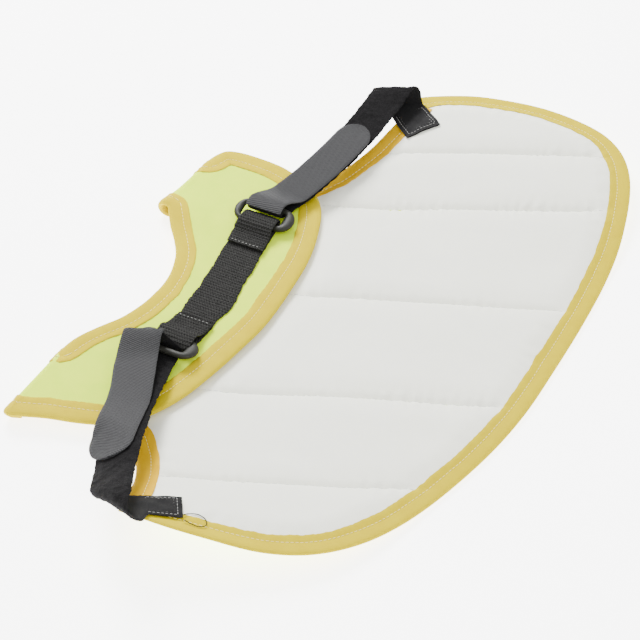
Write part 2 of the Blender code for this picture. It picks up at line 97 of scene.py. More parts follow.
# How each looks beside its CAD: the visible length of the tab; the shift of the tab's root off the ring's bar
# and the root's direction across the tab; how far the outer side of the strap's turn stands up; the width of
# the sewn end, as a share, and its shift sideways; the shift of the turn; the length of the sewn end; and how
# far the strap stands off the bar inside the ring
LOOKS = {
    "far": {"tab": 98, "root": None, "row": None, "rise": 6.5, "patch": (1.0, 0.0), "turn": (-2.6, 2.2),
            "sewn": 25.5, "bulge": 0.5},
    "near": {"tab": 101, "root": (-11.5, 3.0, 4.0), "row": (0.93, 0.30, 0.10), "rise": 2.0,
             "patch": (0.68, -4.0), "turn": (0.0, 0.0), "sewn": 22.0, "bulge": 1.5},
}
TAB_TIP = 14.0               # length of the tab's rounded tip
TAB_FALL = 20.0              # over which the tab comes down from the ring
ROOT_REACH = 58.0            # length of the tab that follows its shifted root
LOBE = 2.0                   # extra length of the ring's tail-side end
HANG = 4.0                   # how far the root of the far tab hangs over the ring's opening
CREASE = 1.3                 # radius of the crease at the root of the near tab
ELASTIC_BULGE = 3.5          # how far the elastic stands off the bar inside the ring
ELASTIC_WIDTH = 25.0
ELASTIC_RETURN = 22.0        # length of elastic that is turned back and sewn down
ELASTIC_DRIFT = ((-60, 3.2), (-45, 5.2), (-10, 4.5), (16, 2.5), (43, 0.3))      # y, and shift in x there
THREAD_ROUTE = [(0.7, 2.0, 0.0), (3.5, 0.3, -0.5), (8.5, 0.6, -0.6), (12.4, 4.2, -0.6), (12.0, 8.6, -0.6),
                (8.0, 9.8, -0.6), (3.6, 8.0, -0.5), (0.7, 6.2, 0.0)]


# Curled flanks: where each curl sets in, and how the near one fades towards the front and the tail
NEAR_CURL_START = -90.0
NEAR_CURL = 0.0022
NEAR_CURL_FRONT = (-75.0, 55.0)
NEAR_CURL_TAIL = (-20.0, 100.0, 0.4)
FAR_CURL_START = 100.0
FAR_CURL_LENGTH = 120.0
FAR_CURL_HEIGHT = 12.0

FOLD_R = 3.35                # radius of the middle of the cloth where it turns over at a shoulder
FOLD_FOOT = 1.65             # height of the middle of the cloth below the turn
FOLD_LEG = 4.0               # cloth past the turn, on the back's side
FLAP_Z = 8.15                # middle of the flap where it has settled on the back
FLAP_SHELL = (1.15, 0.6)     # upper and lower face of each of the flap's cloths, off its middle
FLAP_LINING = (-0.55, -1.05)

QUILT_REACH = (-230, 130)    # ends of the quilting lines, from QUILT_X along them
NOISE_GRID = 97

FOCUS = Vector((-CENTRE[0], -CENTRE[1], 0)) * MM
CAMERA_OFFSET = Vector((0.3487, -0.715, 0.7955))        # 45 degrees up and 26 degrees round, 1.125 m away
LENS = 101.25
FLOOR = 8.0                  # half the width of the floor, in metres
FLOOR_Z = -0.0002
LIGHTS = (("key", (-1.0, 0.9, 1.2), 0.7, 75), ("fill", (0.9, -0.8, 1.2), 1.6, 12))   # with place, size, power


# ---------------------------------------------------------------- small tools

def ease(t):
    t = np.clip(t, 0.0, 1.0)
    return t * t * (3 - 2 * t)


def bell(x, width):
    return np.exp(-(np.asarray(x, float) / width) ** 2)


def noise(x, y, size, seed=0):
    """Smooth noise from -1 to 1 with features of about size millimetres."""
    grid = np.random.default_rng(seed).uniform(-1, 1, (NOISE_GRID, NOISE_GRID))
    u, v = np.asarray(x, float) / size, np.asarray(y, float) / size
    i, j = np.floor(u).astype(int), np.floor(v).astype(int)
    f, g = ease(u - i), ease(v - j)
    (i0, j0), (i1, j1) = (i % NOISE_GRID, j % NOISE_GRID), ((i + 1) % NOISE_GRID, (j + 1) % NOISE_GRID)
    a, b, c, d = grid[i0, j0], grid[i1, j0], grid[i0, j1], grid[i1, j1]
    return (a * (1 - f) + b * f) * (1 - g) + (c * (1 - f) + d * f) * g


def spline(points, steps):
    """Catmull-Rom curve through points of any dimension, as an array."""
    pts = np.array(points, float)
    n = len(pts)
    out = []
    for i in range(n - 1):
        a, b, c, d = (pts[min(max(i + k, 0), n - 1)] for k in (-1, 0, 1, 2))
        for s in range(steps):
            t = s / steps
            out.append(0.5 * (2 * b + (c - a) * t + (2 * a - 5 * b + 4 * c - d) * t * t
                              + (3 * b - a - 3 * c + d) * t ** 3))
    return np.array(out + [pts[-1]])


def lengths(path):
    return np.concatenate([[0], np.cumsum(np.linalg.norm(np.diff(path, axis=0), axis=1))])


def resample(path, step):
    s = lengths(path)
    at = np.linspace(0, s[-1], max(2, round(s[-1] / step) + 1))
    return np.stack([np.interp(at, s, path[:, k]) for k in range(path.shape[1])], axis=1)


def smooth_rows(a, rounds):
    for _ in range(rounds):
        a = np.concatenate([a[:1], (a[:-2] + 2 * a[1:-1] + a[2:]) / 4, a[-1:]])
    return a


def unit(v):
    return v / np.maximum(np.linalg.norm(v, axis=-1, keepdims=True), 1e-12)


def closed(path):
    return np.concatenate([path, path[:1]])


def inside(ring, x, y):
    """Which points lie inside a closed plan outline."""
    result = np.zeros(len(x), bool)
    for (ax, ay), (bx, by) in zip(ring[:-1], ring[1:]):
        result ^= ((ay > y) != (by > y)) & (x < (bx - ax) * (y - ay) / (by - ay + 1e-12) + ax)
    return result


class Line:
    """A plan polyline that gives, for points, the distance to it and the place along it."""

    def __init__(self, path):
        self.a, self.d = path[:-1], np.diff(path, axis=0)
        self.s = lengths(path)

    def near(self, x, y):
        x, y = np.asarray(x, float), np.asarray(y, float)
        best, along = np.full(x.shape, 1e9), np.zeros(x.shape)
        for (ax, ay), (dx, dy), s in zip(self.a, self.d, self.s):
            size = dx * dx + dy * dy
            t = np.clip(((x - ax) * dx + (y - ay) * dy) / size, 0, 1)
            r = np.hypot(x - ax - t * dx, y - ay - t * dy)
            hit = r < best
            best = np.where(hit, r, best)
            along = np.where(hit, s + t * math.sqrt(size), along)
        return best, along


def add_object(name, data):
    obj = bpy.data.objects.new(name, data)
    bpy.context.scene.collection.objects.link(obj)
    return obj


def write(name, points, faces, material, uv):
    """A mesh object from millimetre points, with its weave coordinates in millimetres."""
    mesh = bpy.data.meshes.new(name)
    mesh.from_pydata([tuple(p) for p in (np.asarray(points, float) - CENTRE) * MM], [],
                     [tuple(int(i) for i in f) for f in faces])
    mesh.validate()
    layer = mesh.uv_layers.new(name="UVMap")
    index = np.zeros(len(mesh.loops), int)
    mesh.loops.foreach_get("vertex_index", index)
    layer.data.foreach_set("uv", np.asarray(uv, float)[index].astype(np.float32).ravel())
    mesh.shade_smooth()
    mesh.set_sharp_from_angle(angle=math.radians(50))
    obj = add_object(name, mesh)
    obj.data.materials.append(material)
    return obj


def tube_faces(rows, size, closed_rows=False):
    """Quads round a tube of rows, each with size points."""
    faces = []
    for i in range(rows if closed_rows else rows - 1):
        j = (i + 1) % rows
        for k in range(size):
            m = (k + 1) % size
            faces.append((i * size + k, i * size + m, j * size + m, j * size + k))
    if not closed_rows:
        faces.append(tuple(reversed(range(size))))
        faces.append(tuple(range((rows - 1) * size, rows * size)))
    return faces


# ---------------------------------------------------------------- shapes of the cloth

def lift(x, y):
    """Height by which the curled flanks raise the point (x, y)."""
    near = np.maximum(NEAR_CURL_START - y, 0)
    front, front_length = NEAR_CURL_FRONT
    tail, tail_length, faded = NEAR_CURL_TAIL
    share = ease((x - front) / front_length) * (1 - faded * ease((x - tail) / tail_length))
    return NEAR_CURL * share * near * near + FAR_CURL_HEIGHT * ease((y - FAR_CURL_START) / FAR_CURL_LENGTH)


BACK_OUTLINE = np.concatenate([spline(TAIL_EDGE, 5), spline(NEAR_ARM_EDGE, 5),
                               spline(BACK_NECK_EDGE, 5)[::-1], spline(FAR_ARM_EDGE, 5)[::-1]])
BACK = Line(closed(BACK_OUTLINE))
FLAP_RIM = Line(spline(FLAP_EDGE, 4))


def wobble(a, line):
    """How far a quilting line strays sideways at the place a along it."""
    return 0.9 * noise(a, 7 * line, 35, 3)


def quilting_line(line, a, off=0.0):
    """Plan points at the places a along a quilting line, off beside it."""
    height, slope = QUILT_LINES[line]
    way = unit(np.array([1.0, slope]))
    side = np.array([-way[1], way[0]])
    return np.array([QUILT_X, height]) + way * a[..., None] + side * (off - wobble(a, line))[..., None]


def quilt(x, y):
    """Distance to the nearest quilting line and place along it."""
    best, along = np.full(np.shape(x), 1e9), np.zeros(np.shape(x))
    for i, (height, slope) in enumerate(QUILT_LINES):
        run = math.hypot(1, slope)
        a = ((x - QUILT_X) + slope * (y - height)) / run
        off = np.abs((y - height - slope * (x - QUILT_X)) / run + wobble(a, i))
        hit = off < best
        best, along = np.where(hit, off, best), np.where(hit, a + 400 * i, along)
    return best, along


def under_flap(x, y):
    """1 where the chest flap lies over the back, falling to 0 outside it."""
    d, _ = FLAP_RIM.near(x, y)
    edge = np.interp(y, *zip(*sorted((p[1], p[0]) for p in FLAP_EDGE[3:])))
    signed = np.where(np.asarray(x) < edge, -d, d)
    return 1 - ease((signed - 1) / 16)


def back_parts(x, y):
    d, s = BACK.near(x, y)
    q, a = quilt(x, y)
    return d, s, q, a, ease((d - 4) / 20), 1 - under_flap(x, y)


def back_top(x, y):
    """Upper face of the quilted lining."""
    d, s, q, a, inner, free = back_parts(x, y)
    puff = 2.0 * (1 - bell(q, 9)) - 1.7 * bell(q, 1.6)
    puff += 0.38 * bell(q, 8) * np.sin(a * 0.8 + 3.0 * noise(a, q, 14, 5)) * (1 + noise(a, 0, 22, 8))
    broad = 0.75 * noise(x, y, 55, 1) + 0.45 * noise(x * 0.5, y, 16, 2)
    rim = 0.30 * bell(d - 17, 6) * np.sin(s * 0.55 + 4 * noise(s, d, 25, 6)) * (1 + noise(s, 0, 30, 13))
    return lift(x, y) + 2.5 + 2.0 * inner + inner * (0.25 + 0.75 * free) * (puff + broad) + rim


def shell_low(x, y):
    """Lower face of the back's shell, flat on the ground between the curled flanks."""
    d, _, q, _, inner, _ = back_parts(x, y)
    hollow = 0.8 * bell(q, 2.4) * inner + 0.25 * (1 + noise(x, y, 30, 9)) * inner
    return lift(x, y) + 0.05 + 0.55 * (1 - ease((d - 12) / 4)) + hollow


def shell_high(x, y):
    return shell_low(x, y) + 0.6


def lining_low(x, y):
    return np.minimum(shell_low(x, y) + 0.7, back_top(x, y) - 0.5)


def back_cover(x, y):
    """Top of the back with its bindings, for what lies on it."""
    d, _ = BACK.near(x, y)
    return back_top(x, y) + 1.0 * (1 - ease((d - 11) / 5))


def fold_line(y):
    """Radius of the turn, and the x at which the flap starts to turn over."""
    far = np.asarray(y) > -30
    r = FOLD_R + np.where(far, 2.4 * bell(np.asarray(y) - 42, 15), 0.3)
    outer = np.where(far, -139 + 0.115 * (y - 46), -128 + 0.067 * (y + 99))
    return r, outer + r + 1.3


def flap_place(x, y, u):
    """Puts a point of the flat flap, at height u above its middle, where the fold takes it."""
    r, start = fold_line(y)
    t = np.maximum(start - x, 0)
    angle = np.minimum(t / r, np.pi)
    past = np.maximum(t - np.pi * r, 0)
    on = np.maximum(x - start, 0)
    settle = np.exp(-on / 28)
    wave = (0.45 * noise(x, y, 44, 11) + 0.18 * noise(x, y, 17, 12)) * (1 - np.exp(-on / 12))
    flat = FLAP_Z + (2 * r + FOLD_FOOT - FLAP_Z) * settle + wave + lift(x, y)
    turned = r + FOLD_FOOT
    px = np.where(t > 0, start - (r + u) * np.sin(angle) + past, x)
    pz = np.where(t > 0, turned + (r + u) * np.cos(angle), flat + u)
    return np.stack([px, np.asarray(y, float) + 0 * px, pz], axis=-1)


def level(height):
    """A face of the flap, at a height off its middle."""
    return lambda x, y: height + 0 * x


def back_place(x, y, z):
    return np.stack([x, y, z], axis=-1)


# ---------------------------------------------------------------- materials

def shader(name, colour, roughness, sheen=0.0, gloss=0.2):
    mat = bpy.data.materials.new(name)
    mat.use_nodes = True
    s = mat.node_tree.nodes["Principled BSDF"]
    s.inputs["Base Color"].default_value = (*colour, 1)
    s.inputs["Roughness"].default_value = roughness
    s.inputs["Sheen Weight"].default_value = sheen
    s.inputs["Specular IOR Level"].default_value = gloss
    return mat, mat.node_tree, s


def coordinates(tree, scale, angle=0.0):
    """Weave coordinates, in units of scale millimetres."""
    source = tree.nodes.new("ShaderNodeUVMap")
    source.uv_map = "UVMap"
    place = tree.nodes.new("ShaderNodeMapping")
    place.inputs["Scale"].default_value = (1 / scale, 1 / scale, 1)
    place.inputs["Rotation"].default_value = (0, 0, angle)
    tree.links.new(source.outputs["UV"], place.inputs["Vector"])
    return place.outputs["Vector"]


def texture(tree, kind, vector, **inputs):
    n = tree.nodes.new(f"ShaderNodeTex{kind}")
    for name, value in inputs.items():
        n.inputs[name].default_value = value
    tree.links.new(vector, n.inputs["Vector"])
    return n


def bands(tree, vector, direction):
    """Waves one unit of the coordinates long."""
    w = texture(tree, "Wave", vector, Scale=math.pi / 10, Distortion=0.0)
    w.wave_type = "BANDS"
    w.bands_direction = direction
    w.wave_profile = "SIN"
    return w.outputs["Fac"]


def math_node(tree, operation, a, b):
    n = tree.nodes.new("ShaderNodeMath")
    n.operation = operation
    for socket, value in zip(n.inputs, (a, b)):
        if isinstance(value, (int, float)):
            socket.default_value = value
        else:
            tree.links.new(value, socket)
    return n.outputs[0]


def mix(tree, *parts):
    """Sum of textures, each with its weight."""
    total = None
    for texture, weight in parts:
        part = math_node(tree, "MULTIPLY", texture, weight)
        total = part if total is None else math_node(tree, "ADD", total, part)
    return total


def cloud(tree, vector, scale, detail=3.0):
    return texture(tree, "Noise", vector, Scale=scale, Detail=detail).outputs["Fac"]


def tint(tree, s, factor, low, high):
    """Base colour that runs from low to high with factor."""
    ramp = tree.nodes.new("ShaderNodeValToRGB")
    ramp.color_ramp.elements[0].color = (*low, 1)
    ramp.color_ramp.elements[1].color = (*high, 1)
    ramp.color_ramp.elements[0].position = 0.25
    ramp.color_ramp.elements[1].position = 0.75
    tree.links.new(factor, ramp.inputs["Fac"])
    tree.links.new(ramp.outputs["Color"], s.inputs["Base Color"])
    return ramp


def bump(tree, s, height, distance):
    b = tree.nodes.new("ShaderNodeBump")
    b.inputs["Strength"].default_value = 1.0
    b.inputs["Distance"].default_value = distance * MM
    tree.links.new(height, b.inputs["Height"])
    tree.links.new(b.outputs["Normal"], s.inputs["Normal"])


def scaled(colour, k):
    return tuple(min(c * k, 1.0) for c in colour)


def woven(name, colour, roughness, pitch, depth, sheen=0.0, mottle=0.06, shade=None, gloss=0.2):
    """Plain-woven cloth: threads of the given pitch in both directions, with faint mottling."""
    mat, tree, s = shader(name, colour, roughness, sheen=sheen, gloss=gloss)
    fine = coordinates(tree, pitch)
    weave = math_node(tree, "MULTIPLY", bands(tree, fine, "X"), bands(tree, fine, "Y"))
    wide = coordinates(tree, 1.0)
    patchy = mix(tree, (weave, 0.25), (cloud(tree, wide, 0.09), 0.75))
    tint(tree, s, patchy, shade or scaled(colour, 1 - mottle), colour)
    bump(tree, s, mix(tree, (weave, 1.0), (cloud(tree, wide, 0.6), 0.8)), depth)
    return mat


def twill(name, dark, light, pitch, depth, angle):
    """Ribbed tape: slanting ribs broken up by fine hooks."""
    mat, tree, s = shader(name, light, 0.7, sheen=0.03)
    slant = coordinates(tree, pitch, angle)
    across = coordinates(tree, pitch * 0.8, angle)
    rib = bands(tree, slant, "X")
    tooth = bands(tree, across, "Y")
    spots = cloud(tree, coordinates(tree, 1.0), 1.6, 4.0)
    ribbed = mix(tree, (rib, 0.5), (tooth, 0.2), (spots, 0.35))
    tint(tree, s, ribbed, dark, light)
    bump(tree, s, ribbed, depth)
    return mat


def fuzzy(name, dark, light, grain, depth, sheen):
    """Loop pile: a mat of curled fibres."""
    mat, tree, s = shader(name, light, 0.95, sheen=sheen, gloss=0.08)
    s.inputs["Sheen Roughness"].default_value = 0.5
    base = coordinates(tree, 1.0)
    pile = texture(tree, "Voronoi", base, Scale=1 / grain)
    curls = mix(tree, (pile.outputs["Distance"], 0.6), (cloud(tree, base, 1.1, 5.0), 0.6))
    tint(tree, s, curls, dark, light)
    bump(tree, s, curls, depth)
    return mat


def knitted(name, dark, light):
    """Chunky knit: rows of slanting stitches, dark between the yarns."""
    mat, tree, s = shader(name, light, 0.8, gloss=0.15)
    rows = bands(tree, coordinates(tree, 2.3), "X")
    left = bands(tree, coordinates(tree, 1.5, 0.6), "Y")
    right = bands(tree, coordinates(tree, 1.5, -0.6), "Y")
    stitch = math_node(tree, "MAXIMUM", left, right)
    yarn = mix(tree, (rows, 0.25), (stitch, 0.45), (cloud(tree, coordinates(tree, 1.0), 1.4, 4.0), 0.3))
    ramp = tint(tree, s, yarn, dark, light)
    ramp.color_ramp.elements[0].position = 0.35
    ramp.color_ramp.elements[1].position = 0.95
    bump(tree, s, yarn, 0.4)
    return mat


def thread_material(name, colour):
    mat, tree, s = shader(name, colour, 0.7)
    ply = bands(tree, coordinates(tree, 0.35, 0.6), "X")
    tint(tree, s, ply, scaled(colour, 0.75), colour)
    bump(tree, s, ply, 0.05)
    return mat


def moulded(name, colour):
    mat, tree, s = shader(name, colour, 0.5, gloss=0.25)
    where = tree.nodes.new("ShaderNodeTexCoord").outputs["Object"]
    grain = cloud(tree, where, 900.0, 3.0)
    tint(tree, s, grain, scaled(colour, 0.85), scaled(colour, 1.25))
    bump(tree, s, grain, 0.05)
    return mat


LIME_CLOTH = woven("lime_shell_cloth", (0.72, 0.92, 0.03), 0.6, 0.5, 0.05, shade=(0.62, 0.87, 0.015),
                   gloss=0.04)
WHITE_CLOTH = woven("white_lining_cloth", (0.97, 0.98, 0.86), 0.5, 0.45, 0.05, mottle=0.03)
YELLOW_CLOTH = woven("yellow_binding_cloth", (0.58, 0.47, 0.0), 0.6, 0.55, 0.08, shade=(0.54, 0.41, 0.0),
                     gloss=0.04)
# The yellow binding again, darker and more orange: painted shade for the arm and back-neck tapes, which lie
# in shade.
SHADED_BINDING_CLOTH = woven("yellow_binding_cloth_painted_shade", (0.72, 0.44, 0.0), 0.6, 0.55, 0.08, shade=(0.64, 0.36, 0.0),
                    gloss=0.04)
HOOK_CLOTH = twill("hook_tape_cloth", (0.007, 0.007, 0.008), (0.042, 0.042, 0.044), 1.0, 0.35, 0.35)
LOOP_CLOTH = fuzzy("loop_tape_pile", (0.001, 0.001, 0.001), (0.008, 0.0075, 0.008), 0.7, 0.5, 0.02)
STRAP_BACK = woven("strap_back_weave", (0.006, 0.0058, 0.0064), 0.8, 0.7, 0.12, sheen=0.02, mottle=0.5)
ELASTIC_CLOTH = knitted("elastic_knit_yarn", (0.002, 0.002, 0.002), (0.030, 0.0295, 0.027))
RING_PLASTIC = moulded("ring_moulding", (0.013, 0.013, 0.010))
WHITE_THREAD = thread_material("white_thread", (0.80, 0.80, 0.76))
YELLOW_THREAD = thread_material("yellow_thread", (1.0, 0.88, 0.35))
PALE_THREAD = thread_material("pale_thread", (0.30, 0.30, 0.29))
BLACK_THREAD = thread_material("black_thread", (0.012, 0.012, 0.012))


# ---------------------------------------------------------------- stage

def make_stage():
    data = bpy.data.cameras.new("camera")
    data.lens = LENS
    camera = add_object("camera", data)
    camera.location = FOCUS + CAMERA_OFFSET
    camera.rotation_euler = (FOCUS - camera.location).to_track_quat("-Z", "Y").to_euler()
    bpy.context.scene.camera = camera

    mesh = bpy.data.meshes.new("floor")
    corners = [(x * FLOOR, y * FLOOR, 0) for x, y in ((-1, -1), (1, -1), (1, 1), (-1, 1))]
    mesh.from_pydata(corners, [], [(0, 1, 2, 3)])
    floor = add_object("floor", mesh)
    floor.location.z = FLOOR_Z
    mat, _, s = shader("floor", (0.93, 0.93, 0.93), 0.9)
    s.inputs["Emission Color"].default_value = (1, 1, 1, 1)
    s.inputs["Emission Strength"].default_value = 5.0
    mesh.materials.append(mat)

    world = bpy.data.worlds.new("studio")
    world.use_nodes = True
    world.node_tree.nodes["Background"].inputs["Color"].default_value = (1, 1, 1, 1)
    world.node_tree.nodes["Background"].inputs["Strength"].default_value = 1.4
    bpy.context.scene.world = world
    for name, place, size, power in LIGHTS:
        light = bpy.data.lights.new(name, "AREA")
        light.size = size
        light.energy = power
        lamp = add_object(name, light)
        lamp.location = place
        lamp.rotation_euler = (-Vector(place)).to_track_quat("-Z", "Y").to_euler()


# ---------------------------------------------------------------- panels

def fill(outline, interior):
    """Triangles of a flat cloth: its outline, in order, and its interior points."""
    count = len(outline)
    points = [Vector(p) for p in outline] + [Vector(p) for p in interior]
    edges = [(i, (i + 1) % count) for i in range(count)]
    verts, _, faces, *_ = delaunay_2d_cdt(points, edges, [], 1, 1e-4)
    return np.array([(v.x, v.y) for v in verts]), np.array([f for f in faces if len(f) == 3], int)


def lattice(outline, step, keep):
    """Grid points inside an outline, at least keep from its edge."""
    low, high = outline.min(0), outline.max(0)
    xs, ys = np.arange(low[0], high[0], step), np.arange(low[1], high[1], step * 0.87)
    x, y = np.meshgrid(xs, ys)
    x = x + (np.arange(len(ys)) % 2)[:, None] * step / 2
    x, y = x.ravel(), y.ravel()
    ring = closed(outline)
    within = inside(ring, x, y)
    x, y = x[within], y[within]
    d, _ = Line(ring).near(x, y)
    return np.stack([x[d > keep], y[d > keep]], axis=1)


def cloth(name, flat, faces, place, high, low, material):
    """A closed cloth from a flat pattern: high and low are its two faces, put in place by place."""
    x, y = flat[:, 0], flat[:, 1]
    n = len(flat)
    a, b, c = (flat[faces[:, k]] for k in range(3))
    turn = (b[:, 0] - a[:, 0]) * (c[:, 1] - a[:, 1]) - (b[:, 1] - a[:, 1]) * (c[:, 0] - a[:, 0])
    faces = np.where((turn > 0)[:, None], faces, faces[:, ::-1])
    points = np.concatenate([place(x, y, high(x, y)), place(x, y, low(x, y))])
    sides = {}
    for f in faces:
        for k in range(3):
            e = (int(f[k]), int(f[(k + 1) % 3]))
            sides[e] = sides.get(e, 0) + 1
    walls = [(i, i + n, j + n, j) for i, j in sides if (j, i) not in sides]
    all_faces = [tuple(f) for f in faces] + [tuple(f + n) for f in faces[:, ::-1]] + walls
    return write(name, points, all_faces, material, uv=np.concatenate([flat, flat]))


def inset(path, distance):
    """A closed clockwise outline moved inwards."""
    along = np.roll(path, -1, axis=0) - np.roll(path, 1, axis=0)
    n = unit(np.stack([along[:, 1], -along[:, 0]], axis=1))
    return path + n * distance


def evenly(path, step):
    """A closed outline with evenly spaced points."""
    return resample(closed(path), step)[:-1]


def make_back():
    outline = evenly(inset(BACK_OUTLINE, 1.3), 2.4)
    along = np.arange(*QUILT_REACH, 2.2)[:, None]
    beside = np.array([-3.4, -1.6, 0.0, 1.6, 3.4])
    seams = np.concatenate([quilting_line(i, along, beside).reshape(-1, 2) for i in range(len(QUILT_LINES))])
    seams = seams[inside(closed(evenly(inset(BACK_OUTLINE, 5.0), 4.0)), *seams.T)]
    field = lattice(outline, 3.0, 1.6)
    q, _ = quilt(field[:, 0], field[:, 1])
    flat, faces = fill(outline, np.concatenate([field[q > 4.6], seams]))
    lining = cloth("quilted_lining", flat, faces, back_place, back_top, lining_low, WHITE_CLOTH)
    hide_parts("back_lining", *(f"foam_strip_{i}" for i in range(1, 7)))
    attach(lining, "back_panel")
    shell = cloth("back_shell_cloth", flat, faces, back_place, shell_high, shell_low, LIME_CLOTH)
    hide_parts("back_shell")
    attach(shell, "back_panel")


def extended(y_start, y_end, x_from):
    """Straight run of a flap edge past the fold, down to the back."""
    r, start = fold_line(np.array([y_start, y_end]))
    x_end = float(start[1]) - math.pi * float(r[1]) - FOLD_LEG
    return resample(np.array([(x_from, y_start), (x_end, y_end)], float), 1.0)


EDGE_PATH = np.concatenate([extended(97, 93.5, -131)[:0:-1], spline(FLAP_EDGE, 5),
                            extended(-159, -152, -126)[1:]])
NECK_PATH = np.concatenate([extended(-99, -98, -126)[:0:-1], spline(FLAP_NECK_EDGE, 5),
                            extended(40, 43, -130)[1:]])


def make_flap():
    outline = np.concatenate([EDGE_PATH, NECK_PATH])
    outline = evenly(inset(evenly(outline, 1.2), 1.2), 1.3)
    field = lattice(outline, 2.6, 1.3)
    _, start = fold_line(field[:, 1])
    fine = lattice(outline, 1.2, 0.9)
    _, near_start = fold_line(fine[:, 1])
    interior = np.concatenate([field[field[:, 0] > start + 5], fine[fine[:, 0] < near_start + 4]])
    flat, faces = fill(outline, interior)
    shell_nodes = ("chest_shell", "far_shoulder_fold", "near_shoulder_fold")
    for name, node_names, (high, low), material, slot in (
            ("chest_shell_cloth", shell_nodes, FLAP_SHELL, LIME_CLOTH, "lime_shell"),
            ("chest_lining_cloth", ("chest_lining",), FLAP_LINING, WHITE_CLOTH, "white_lining")):
        piece = cloth(name, flat, faces, flap_place, level(high), level(low), material)
        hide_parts(*node_names)
        bend(piece)


def bend(piece):
    """Bakes the transform of cloth that turns over at the shoulders into its mesh."""
    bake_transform(piece)


# ---------------------------------------------------------------- bindings and stitches

# Section of a binding, from the free edge on top, round the rim, to the free edge below: the share of its
# width from the rim, the face it lies on (1 top, -1 bottom), and its height off that face
OUTER = [(1.0, 1, 0.08), (0.985, 1, 0.42), (0.95, 1, 0.56), (0.86, 1, 0.62), (0.74, 1, 0.54), (0.67, 1, 0.40),
         (0.62, 1, 0.26), (0.57, 1, 0.40), (0.48, 1, 0.60), (0.34, 1, 0.72), (0.19, 1, 0.68), (0.08, 1, 0.46),
         (0.01, 0.85, 0.20), (-0.035, 0.45, 0.0), (-0.05, 0.0, 0.0), (-0.035, -0.45, 0.0),
         (0.01, -0.85, -0.15), (0.08, -1, -0.36), (0.25, -1, -0.48), (0.50, -1, -0.48), (0.62, -1, -0.28),
         (0.80, -1, -0.46),
         (0.97, -1, -0.42), (1.0, -1, -0.06)]
INNER = [(0.965, -1, -0.02), (0.50, -1, 0.0), (0.10, -1, 0.0), (0.035, -0.5, 0.0), (0.03, 0.0, 0.0),
         (0.035, 0.5, 0.0), (0.10, 1, 0.0), (0.50, 1, 0.02), (0.965, 1, 0.04)]


def right_of(path, rounds=2):
    along = np.gradient(path, axis=0)
    n = unit(np.stack([along[:, 1], -along[:, 0]], axis=1))
    return unit(smooth_rows(n, rounds))


class Tape:
    """A folded tape along the edge of a panel, with its two rows of stitches."""

    def __init__(self, name, path, high, low, place, seed, width=TAPE, over_start=0.0, over_end=0.0,
                 material=YELLOW_CLOTH):
        self.name, self.high, self.low, self.place = name, high, low, place
        self.width, self.seed, self.material = width, seed, material
        self.path = resample(path, 1.7)
        self.normal = right_of(self.path, 3)
        self.s = lengths(self.path)
        to_end = self.s[-1] - self.s
        self.over = over_start * (1 - ease((self.s - 15) / 5)) + over_end * (1 - ease((to_end - 15) / 5))

    def point(self, at, share, face, height):
        """World points at the stations in at."""
        stations = np.arange(len(self.s))
        s, over = np.interp(at, stations, self.s), np.interp(at, stations, self.over)
        path, normal = (np.stack([np.interp(at, stations, v[:, k]) for k in range(2)], axis=1)
                        for v in (self.path, self.normal))
        seed = self.seed
        width = self.width * (1 + 0.035 * noise(s, 0, 34, seed + 20) + 0.02 * noise(s, 0, 9, seed + 21))
        across = share * width
        height = height + 0 * s
        if face > 0:
            if share > 0.9:
                height = height + 0.20 * np.sin(s * 1.25 + 2.6 * noise(s, 3, 11, seed + 22)) \
                    + 0.16 * noise(s, 0, 5, seed + 23)
                across = across + 0.30 * noise(s, 0, 7, seed + 24)
            elif 0.1 < share < 0.6:
                height = height + 0.13 * noise(s, share * 8, 3.2, seed + 25) * (share < 0.58)
            elif share > 0.65:
                height = height + 0.12 * noise(s, share * 20, 4.0, seed + 26)
        p = path + normal * across[:, None]
        x, y = p[:, 0], p[:, 1]
        top, bottom = self.high(x, y), self.low(x, y)
        z = (top + bottom) / 2 + face * (top - bottom) / 2 + height + over * (face + (face > 0)) * 0.5
        return self.place(x, y, z)

    def build(self, body, *nodes):
        at = np.arange(len(self.path))
        section = OUTER + INNER
        rows = np.stack([self.point(at, *entry) for entry in section], axis=1)
        size = len(section)
        along = np.repeat(self.s[:, None], size, axis=1)
        places = [share * self.width + (40 if face < 0 else 0) for share, face, _ in section]
        across = np.repeat(np.array([places]), len(at), axis=0)
        uv = np.stack([along, across], axis=2).reshape(-1, 2)
        faces = [f[::-1] for f in tube_faces(len(at), size)]
        tape = write(self.name, rows.reshape(-1, 3), faces, self.material, uv=uv)
        if nodes:
            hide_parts(*nodes)
        stitches = self.stitches()
        for piece in (tape, stitches):
            if body == "both":
                bend(piece)
            else:
                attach(piece, body)
        return tape

    def stitches(self):
        pitch, reach = 2.9, 1.05
        points, faces, uv = [], [], []
        for face, height in ((1, 0.40), (-1, -0.30)):
            stops = np.arange(2.0, self.s[-1] - 2.0, pitch)[:, None] + np.array([-1, -0.5, 0.5, 1]) * reach
            at = np.interp(stops.ravel(), self.s, np.arange(len(self.s)))
            for line in self.point(at, 0.62, face, height).reshape(-1, 4, 3):
                add_stitch(points, faces, uv, line, 0.24)
        return write(f"{self.name}_stitches", points, faces, YELLOW_THREAD, uv=uv)


def add_stitch(points, faces, uv, line, radius, sides=5):
    """Adds a short spindle of thread along a line of four points."""
    first = len(points)
    way = unit(line[-1] - line[0])
    across = unit(np.cross(way, (0.13, 0.21, 1.0)))
    up = np.cross(across, way)
    for k, (p, share) in enumerate(zip(line, (0.35, 1.0, 1.0, 0.35))):
        for m in range(sides):
            a = 2 * math.pi * m / sides
            points.append(p + (across * math.cos(a) + up * math.sin(a)) * radius * share)
            uv.append((k * 0.7, m * 0.3))
    faces.extend(tuple(first + i for i in f) for f in tube_faces(4, sides))


